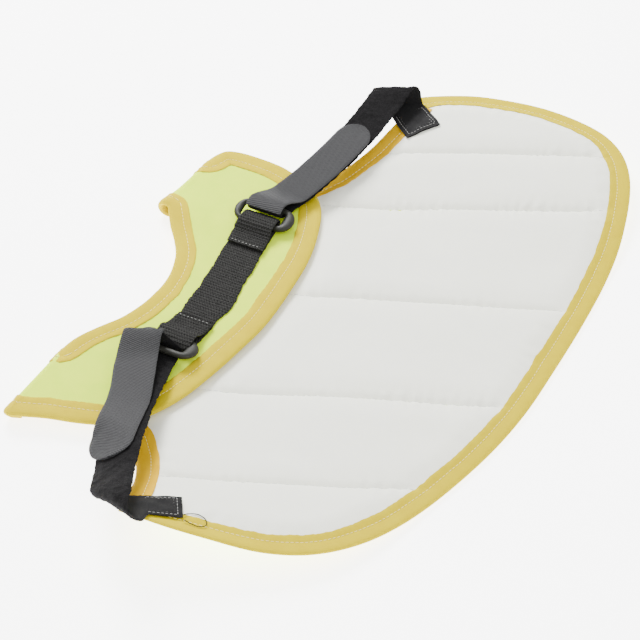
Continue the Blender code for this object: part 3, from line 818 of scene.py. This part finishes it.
def seam(name, lines, radius, material, pitch, share, body):
    """Stitches along 3-D lines, as one piece."""
    points, faces, uv = [], [], []
    for line in lines:
        s = lengths(line)
        for at in np.arange(pitch / 2, s[-1] - pitch / 2, pitch):
            stops = at + np.array([-0.5, -0.25, 0.25, 0.5]) * pitch * share
            places = np.stack([np.interp(stops, s, line[:, k]) for k in range(3)], axis=1)
            add_stitch(points, faces, uv, places, radius)
    piece = write(name, points, faces, material, uv=uv)
    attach(piece, body)
    return piece


def make_bindings():
    back = (back_top, shell_low, back_place)
    chest = (level(FLAP_SHELL[0]), level(FLAP_LINING[1]), flap_place)
    tail = [(-29, 207), (-27, 216)] + TAIL_EDGE[1:-1] + [(-20, -208)]
    Tape("tail_tape", spline(tail, 6), *back, seed=1).build("back_panel", "tail_binding")
    # The arm and back-neck tapes take the copy of the yellow binding with painted shade.
    Tape("near_arm_tape", spline(NEAR_ARM_EDGE, 6), *back, seed=2, over_start=0.6,
         material=SHADED_BINDING_CLOTH).build("back_panel", "near_arm_binding")
    Tape("far_arm_tape", spline(FAR_ARM_EDGE, 6)[::-1], *back, seed=3, over_end=0.6,
         material=SHADED_BINDING_CLOTH).build("back_panel", "far_arm_binding")
    Tape("back_neck_tape", spline(BACK_NECK_EDGE, 6)[::-1], *back, seed=4,
         material=SHADED_BINDING_CLOTH).build("back_panel", "back_neck_binding")
    Tape("chest_edge_tape", EDGE_PATH, *chest, width=14.4, seed=5).build("both", "chest_edge_binding")
    Tape("chest_neck_tape", NECK_PATH, *chest, seed=6).build("both", "chest_neck_binding")


def make_quilting():
    lines = []
    for i in range(len(QUILT_LINES)):
        p = quilting_line(i, np.arange(*QUILT_REACH, 1.0))
        d, _ = BACK.near(p[:, 0], p[:, 1])
        p = p[inside(closed(BACK_OUTLINE), p[:, 0], p[:, 1]) & (d > 12.0)]
        lines.append(np.stack([p[:, 0], p[:, 1], back_top(p[:, 0], p[:, 1]) + 0.05], axis=1))
    seam("quilting_stitches", lines, 0.24, WHITE_THREAD, 3.6, 0.8, "back_panel")


# ---------------------------------------------------------------- straps, tabs, elastic and rings

def normals(grid):
    along, across = np.gradient(grid, axis=0), np.gradient(grid, axis=1)
    return unit(np.cross(across, along))


def band(name, grid, half, material, uv, flip=False, top=0.0, bottom=0.0, back=None):
    """A closed strap round a grid of middle points, whose places along and across it are uv.

    top and bottom are reliefs added to its two faces, and back is the material of the lower one.
    """
    n = normals(grid) * (-1 if flip else 1)
    rows, columns = grid.shape[:2]
    high = grid + n * (half + top)[..., None]
    low = grid - n * (half + bottom)[..., None]
    points = np.concatenate([high.reshape(-1, 3), low.reshape(-1, 3)])
    count = rows * columns
    faces = []
    for i in range(rows - 1):
        for k in range(columns - 1):
            a, b = i * columns + k, (i + 1) * columns + k
            faces.append((a, a + 1, b + 1, b))
            faces.append((a + count, b + count, b + 1 + count, a + 1 + count))
        a, b = i * columns, (i + 1) * columns
        faces.append((a, b, b + count, a + count))
        a, b = a + columns - 1, b + columns - 1
        faces.append((b, a, a + count, b + count))
    for k in range(columns - 1):
        faces.append((k + 1, k, k + count, k + 1 + count))
        a = (rows - 1) * columns + k
        faces.append((a, a + 1, a + 1 + count, a + count))
    if flip:
        faces = [f[::-1] for f in faces]
    flat = np.stack(uv, axis=2).reshape(-1, 2)
    both = np.concatenate([flat, flat + (0, 60)])
    piece = write(name, points, [f[::-1] for f in faces], material, uv=both)
    if back:
        piece.data.materials.append(back)
        for face in piece.data.polygons:
            face.material_index = int(min(face.vertices) >= count)
    return piece


class Closure:
    """Route of one strap. Plan vectors point away from the chest."""

    def __init__(self, side):
        far, near = (np.array(SIDES[s]["ring"], float) for s in ("far", "near"))
        self.side = side
        facts = SIDES[side]
        self.ring = np.array(facts["ring"], float)
        self.turn = np.array(facts["turn"], float) + LOOKS[side]["turn"]
        self.sewn = LOOKS[side]["sewn"]
        self.out = unit(far - near) * (1 if side == "far" else -1)
        self.bar = np.array([abs(self.out[1]), -self.out[0] * np.sign(self.out[1])])
        half = (RING_WIDTH - RING_BAR) / 2
        self.pivot = np.array([*(self.ring - self.out * half), RING_Z])
        self.slant = np.array([*(self.out * math.cos(RING_TILT)), math.sin(RING_TILT)])
        self.outer = self.pivot + self.slant * 2 * half
        self.run_length = float(np.linalg.norm(self.turn - self.outer[:2]))
        self.run = (self.turn - self.outer[:2]) / self.run_length
        crease = unit(self.run + unit(np.array(facts["inward"], float)))
        self.away = np.array([-crease[1], crease[0]])
        if self.away @ self.run < 0:
            self.away = -self.away
        self.side_way = np.array([self.run[1], -self.run[0]])
        if self.side_way @ self.bar < 0:
            self.side_way = -self.side_way
        rolled = math.pi * STRAP_ROLL + abs(self.side_way @ self.away) * STRAP_WIDTH / 2
        self.exit = self.run_length + rolled / (self.away @ self.run) + 0.5
        self.mirrored = side == "near"

    def at(self, along, sideways=0.0):
        """Middle of the strap at one place."""
        return self.strip(np.array([along]), np.array([sideways]))[0]

    def round_bar(self, angle, reach, height, across):
        """A row of points across a strap that goes round the ring's outer bar, at an angle from outwards."""
        middle = self.outer + np.array([*(self.out * math.cos(angle) * reach), math.sin(angle) * height])
        return [middle + np.array([*(self.bar * v), 0]) for v in across]

    def base(self, x, y):
        return back_cover(x, y) + 0.35 + STRAP / 2

    def strip(self, along, sideways):
        """Middle surface of the strap for arrays of places along and across it."""
        along, sideways = np.broadcast_arrays(np.asarray(along, float), np.asarray(sideways, float))
        share = np.minimum(along / self.run_length, 1.0)
        side = sideways + SIDES[self.side]["bow"] * 4 * share * (1 - share)
        flat = self.outer[:2] + self.run * along[..., None] + self.side_way * side[..., None]
        flat = flat + (self.bar - self.side_way) * (side * (1 - ease(along / SKEW_LENGTH)))[..., None]
        t = (flat - self.turn) @ self.away
        line = flat - self.away * t[..., None]
        past = line - self.away * (t - math.pi * STRAP_ROLL)[..., None]
        level = self.base(line[..., 0], line[..., 1])
        over = line + self.away * (STRAP_ROLL * np.sin(np.clip(t / STRAP_ROLL, 0, math.pi)))[..., None]
        over_z = level + STRAP_ROLL * (1 + np.cos(np.clip(t / STRAP_ROLL, 0, math.pi)))
        low = self.outer[2] - BAR_WRAP
        high = float(self.base(*self.turn)) + 2 * STRAP_ROLL
        hung = low + (high - low) * (share + ease(share)) / 2
        keep = ease(1 + t / TURN_LENGTH)
        held = (level + 2 * STRAP_ROLL) * keep + hung * (1 - keep)
        stand = LOOKS[self.side]["rise"] * np.clip(0.5 + sideways / STRAP_WIDTH, 0, 1) * bell(t - 3.0, 13.0)
        over_z = over_z + stand * (1 - ease((t - 7.0) / 5.5))
        held = held + stand
        under = t > math.pi * STRAP_ROLL
        x = np.where(under, past[..., 0], np.where(t > 0, over[..., 0], flat[..., 0]))
        y = np.where(under, past[..., 1], np.where(t > 0, over[..., 1], flat[..., 1]))
        z = np.where(under, self.base(past[..., 0], past[..., 1]), np.where(t > 0, over_z, held))
        return np.stack([x, y, z], axis=-1)


def columns_of(width, count):
    """Places across a strap, closer together near its edges."""
    t = np.linspace(-1, 1, count)
    return width / 2 * np.sign(t) * (1 - (1 - np.abs(t)) ** 1.15)


def edge_thin(across, width):
    """Share of the full thickness, falling away at the selvedges."""
    return 0.35 + 0.65 * ease((width / 2 - np.abs(across)) / 1.4)


def root_row(c, share):
    """Where the hook tab starts, over the ring, for places across it from -1 to 1."""
    start = c.at(1.0)
    middle = np.array([start[0], start[1], c.outer[2] + TAB_WRAP])
    return middle + np.array(LOOKS[c.side]["root"]) + np.outer(share * STRAP_WIDTH / 2, LOOKS[c.side]["row"])


def make_strap(c):
    along = np.linspace(1.0, c.exit + 0.1, round(c.exit))
    across = columns_of(STRAP_WIDTH, 25)
    a, w = np.meshgrid(along, across, indexing="ij")
    fray = 0.022 * noise(a, np.sign(w) * 9, 5, 31) + 0.038 * noise(a, np.sign(w) * 5, 1.5, 32)
    fray = 1 + fray * ease((a - 3) / 8)
    grid = c.strip(a, w * fray)
    wrap = np.linspace(0, 1.0, 13)[1:]
    turns = []
    for k in wrap:
        angle = -math.pi / 2 - math.pi * k
        loose = BAR_WRAP - LOOKS[c.side]["bulge"] * min(math.cos(angle), 0)
        turns.append(c.round_bar(angle, loose, BAR_WRAP, across))
    s = -BAR_WRAP * math.pi * wrap[::-1]
    if LOOKS[c.side]["root"]:
        crease = root_row(c, across / (STRAP_WIDTH / 2)) - (0, 0, 2 * CREASE)
        turns = turns[:7]
        steps = np.linspace(0, 1, 9)[1:]
        turns += [np.array(turns[6]) * (1 - t) + crease * t for t in steps]
        s = -BAR_WRAP * math.pi * np.linspace(0, 2.0, len(turns) + 1)[:0:-1]
    grid = np.concatenate([np.array(turns[::-1]), grid])
    s = np.concatenate([s, along])
    a, w = np.meshgrid(s, across, indexing="ij")
    pile = (0.34 * noise(a, w, 1.2, 41) + 0.26 * noise(a, w, 2.6, 42)) * ease((a + 1) / 8)
    half = STRAP / 2 * edge_thin(w, STRAP_WIDTH)
    piece = band(f"{c.side}_loop_strap", grid, half, LOOP_CLOTH, (a, w),
                 flip=c.mirrored, top=pile * edge_thin(w, STRAP_WIDTH), back=STRAP_BACK)
    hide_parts(f"{c.side}_strap")
    a0, a1 = ((c.at(d) - CENTRE) * MM for d in (c.run_length + 4, 14.0))
    a0[2] = a1[2] = 0.0
    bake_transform(piece)


def make_patch(c):
    along = np.linspace(c.exit, c.exit + c.sewn, 24)
    across = columns_of(STRAP_WIDTH, 17)
    a, w = np.meshgrid(along, across, indexing="ij")
    narrow, shift = LOOKS[c.side]["patch"]
    settle = ease((a - c.exit) / 4)
    grid = c.strip(a, w * (1 - (1 - narrow) * settle) + shift * settle)
    sewn = 0.35 * bell(STRAP_WIDTH / 2 - 2.6 - np.abs(w), 0.9) + 0.35 * bell(a - (c.exit + c.sewn - 2.6), 0.9)
    grid[..., 2] += 0.35 * ease(1 - (c.exit + c.sewn - a) / 3) * noise(a, w, 4, 51) - sewn
    half = 0.62 * edge_thin(w, STRAP_WIDTH)
    piece = band(f"{c.side}_sewn_end", grid, half, STRAP_BACK, (a, w),
                 flip=c.mirrored)
    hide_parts(f"{c.side}_strap_patch")
    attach(piece, "back_panel")
    up = (0, 0, 0.72)
    box = []
    for inner in (2.6, 4.4):
        lo, hi, half_w = c.exit + 1.0 + inner / 2, c.exit + c.sewn - inner, STRAP_WIDTH / 2 - inner
        corners = [(lo, -half_w), (hi, -half_w), (hi, half_w), (lo, half_w), (lo, -half_w)]
        flat = resample(np.array(corners), 0.8)
        box.append(c.strip(flat[:, 0], flat[:, 1] * narrow + shift) + up - (0, 0, 0.30))
    seam(f"{c.side}_box_stitches", box, 0.22, PALE_THREAD, 2.4, 0.72, "back_panel")


def make_tab(c):
    facts, look = SIDES[c.side], LOOKS[c.side]
    free = look["tab"] - TAB_TIP
    tip = look["tab"] - TAB_TIP * (1 - np.linspace(0, 0.985, 14) ** 0.7)
    along = np.concatenate([np.arange(1.0, free, 1.1), tip])
    across = np.linspace(-1, 1, 23)
    a, v = np.meshgrid(along, across, indexing="ij")
    beyond = np.clip((a - free) / TAB_TIP, 0, 1)
    half_width = STRAP_WIDTH / 2 * np.sqrt(1 - beyond ** 2) * (1 + 0.012 * noise(a, np.sign(v) * 4, 6, 61))
    w = v * half_width
    grid = c.strip(a, w + facts["swing"] * a)
    grid = grid + normals(grid) * (-1 if c.mirrored else 1) * (STRAP + 0.55)
    high = c.outer[2] + TAB_WRAP
    down = ease((a - 1.0) / TAB_FALL)
    grid[..., 2] = np.maximum(high * (1 - down) + grid[..., 2] * down, grid[..., 2])
    roll = []
    if look["root"]:
        share = (1 - ease(a / ROOT_REACH))[..., None]
        shifted = root_row(c, across)[None] + (grid - grid[:1])
        grid = grid * (1 - share) + shifted * share
        angles = np.linspace(-1.0, 1.0, 9)[:-1]
        inward = np.array([*(-c.out), 0.0])
        for k in angles:
            angle = math.pi / 2 * k
            roll.append(grid[0] + (0, 0, CREASE * (math.sin(angle) - 1)) + inward * CREASE * math.cos(angle))
    else:
        angles = np.linspace(0.45, 1.0, 8)[:-1]
        for k in angles:
            angle = math.pi - math.pi / 2 * k
            roll.append(c.round_bar(angle, TAB_WRAP + HANG, TAB_WRAP, across * STRAP_WIDTH / 2))
    grid = np.concatenate([np.array(roll), grid])
    s = np.concatenate([-TAB_WRAP * math.pi / 2 * (1 - angles), along])
    a, v = np.meshgrid(s, across, indexing="ij")
    w = v * STRAP_WIDTH / 2
    half = 0.65 * (0.4 + 0.6 * ease((1 - np.abs(v)) * STRAP_WIDTH / 2 / 1.2))
    rib = 0.10 * np.sin((a * math.cos(0.35) + w * math.sin(0.35)) * 2 * math.pi / 2.5)
    piece = band(f"{c.side}_hook_strap", grid, half, HOOK_CLOTH, (a, w),
                 flip=c.mirrored, top=rib * (half > 0.5))
    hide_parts(f"{c.side}_hook_tab")
    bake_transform(piece)


def drift(y):
    """Sideways shift of the elastic at y."""
    return np.interp(y, *zip(*ELASTIC_DRIFT))


def make_elastic(far, near):
    """Knitted elastic across the chest, with each end round a ring bar and sewn back on itself."""
    radius = RING_BAR / 2 + 0.5 + 0.9
    span = (far.pivot[1] - near.pivot[1]) / 2
    middle = (far.pivot[1] + near.pivot[1]) / 2
    low = max(RING_Z - radius, FLAP_Z + FLAP_SHELL[0] + 1.3)
    rest = low + 2.1
    loop = [(span + (radius + ELASTIC_BULGE) * math.cos(a), RING_Z + radius * math.sin(a))
            for a in np.linspace(-math.pi / 2, math.pi / 2, 9)]
    loop += [(span - 5, RING_Z + radius - 0.5), (span - 10, rest + 1.0), (span - 15, rest),
             (span - ELASTIC_RETURN, rest)]
    profile = [(-s, z) for s, z in loop[::-1]] + [(-span * 0.7, low), (-span * 0.35, low - 0.2),
                                                  (0, low - 0.2), (span * 0.35, low - 0.2),
                                                  (span * 0.7, low)] + loop
    line = resample(spline(profile, 6), 0.62)
    s = lengths(line)
    across = columns_of(1.0, 45)
    a, v = np.meshgrid(s, across, indexing="ij")
    y = middle + line[:, 0]
    left = 12.6 + 0.5 * noise(y, 0, 9, 71) + 0.35 * noise(y, 0, 2.6, 72)
    right = 12.6 + 0.6 * noise(y, 0, 10, 73) + 0.4 * noise(y, 0, 2.4, 74)
    right = right + 2.2 * bell(y + 22, 9) - 0.8 * bell(y + 40, 8)
    ends = ease((np.abs(line[:, 0]) - span + 8) / 8)
    left, right = left * (1 - ends) + 12.3 * ends, right * (1 - ends) + 12.3 * ends
    x = far.pivot[0] + drift(y)[:, None] + np.where(v < 0, v * 2 * left[:, None], v * 2 * right[:, None])
    w = v * ELASTIC_WIDTH
    grid = np.stack(np.broadcast_arrays(x, y[:, None], line[:, 1:2]), axis=2)
    rows = np.cos(2 * math.pi * a / 2.3 + 0.8 * noise(a, w, 6, 75))
    stems = np.cos(2 * math.pi * (w + 0.6 * np.sign(np.sin(2 * math.pi * a / 4.6))) / 2.1)
    knit = 0.24 * rows + 0.20 * stems + 0.14 * noise(a, w, 1.3, 76)
    thin = 0.4 + 0.6 * ease((0.5 - np.abs(v)) * ELASTIC_WIDTH / 1.5)
    half = 0.72 * thin
    piece = band("knitted_elastic", grid, half, ELASTIC_CLOTH, (a, w),
                 top=knit * thin, bottom=knit * thin)
    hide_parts("chest_elastic")
    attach(piece, "chest_flap")
    tacks = []
    for sign in (1, -1):
        at = middle + sign * (span - ELASTIC_RETURN + 1.5)
        centre = far.pivot[0] + float(drift(at))
        xs = np.linspace(centre - 11, centre + 11, 24)
        tacks.append(np.stack([xs, at + 0.25 * noise(xs, 0, 4, 77), 0 * xs + rest + 0.95], axis=1))
    seam("elastic_end_stitches", tacks, 0.22, PALE_THREAD, 2.6, 0.5, "chest_flap")


def make_ring(c):
    """Oval ring with rounded ends and a faint mould line."""
    half = (RING_WIDTH - RING_BAR) / 2
    rim = RING_WIDTH / 2
    hole = rim - RING_BAR
    bar = np.array([*c.bar, 0.0])
    up = np.cross(c.slant, bar)
    centres, reaches = [], []
    for way in (1, -1):
        for k in range(25):
            a = math.pi / 2 - math.pi * k / 24
            reach = RING_LENGTH / 2 - rim + (LOBE if way > 0 else 0)
            outer = np.array((reach + rim * math.cos(a), rim * math.sin(a))) * way
            square = math.copysign(abs(math.sin(a)) ** RING_SQUARE, a)
            inner = np.array((RING_OPENING / 2 + RING_CORNER * math.cos(a), hole * square)) * way
            centres.append((outer + inner) / 2)
            reaches.append((outer - inner) / 2)
    points, uv = [], []
    sides = 20
    for k, (middle, reach) in enumerate(zip(centres, reaches)):
        centre = c.pivot + bar * middle[0] + c.slant * (half + middle[1])
        sideways = bar * reach[0] + c.slant * reach[1]
        for m in range(sides):
            b = 2 * math.pi * m / sides
            line = 1 + (0.03 if m in (0, sides // 2) else 0.0)
            rounded = math.copysign(abs(math.sin(b)) ** 0.8, math.sin(b))
            points.append(centre + sideways * math.cos(b) * line + up * RING_BAR / 2 * rounded)
            uv.append((k, m))
    faces = tube_faces(len(centres), sides, closed_rows=True)
    piece = write(f"{c.side}_ring_moulding", points, faces, RING_PLASTIC, uv=uv)
    fix_normals(piece)
    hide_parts(f"{c.side}_ring")
    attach(piece, f"{c.side}_ring")


def fix_normals(obj):
    """Turns a closed mesh the right way out by the sign of its volume."""
    mesh = obj.data
    mesh.calc_loop_triangles()
    tri = np.array([t.vertices[:] for t in mesh.loop_triangles])
    co = np.array([v.co[:] for v in mesh.vertices])
    a, b, c = co[tri[:, 0]], co[tri[:, 1]], co[tri[:, 2]]
    if float((a * np.cross(b, c)).sum()) < 0:
        mesh.flip_normals()


def make_thread(c):
    end = c.exit + c.sewn
    route = []
    for u, v, drop in THREAD_ROUTE:
        route.append(c.at(end + u, v) + (0, 0, drop))
    fine = spline(route, 4)
    curve = bpy.data.curves.new("loose_thread_loop", "CURVE")
    curve.dimensions = "3D"
    curve.bevel_depth = 0.275 * MM
    curve.bevel_resolution = 2
    curve.use_fill_caps = True
    line = curve.splines.new("POLY")
    line.points.add(len(fine) - 1)
    world = (fine - CENTRE) * MM
    for point, p in zip(line.points, world):
        point.co = (*p, 1)
    obj = add_object("loose_thread_loop", curve)
    curve.materials.append(BLACK_THREAD)
    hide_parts("loose_thread")
    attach(obj, "back_panel")


make_stage()
far, near = Closure("far"), Closure("near")
make_thread(near)
make_back()
make_flap()
make_bindings()
make_quilting()
make_elastic(far, near)
for closure in (far, near):
    make_ring(closure)
    make_strap(closure)
    make_patch(closure)
    make_tab(closure)
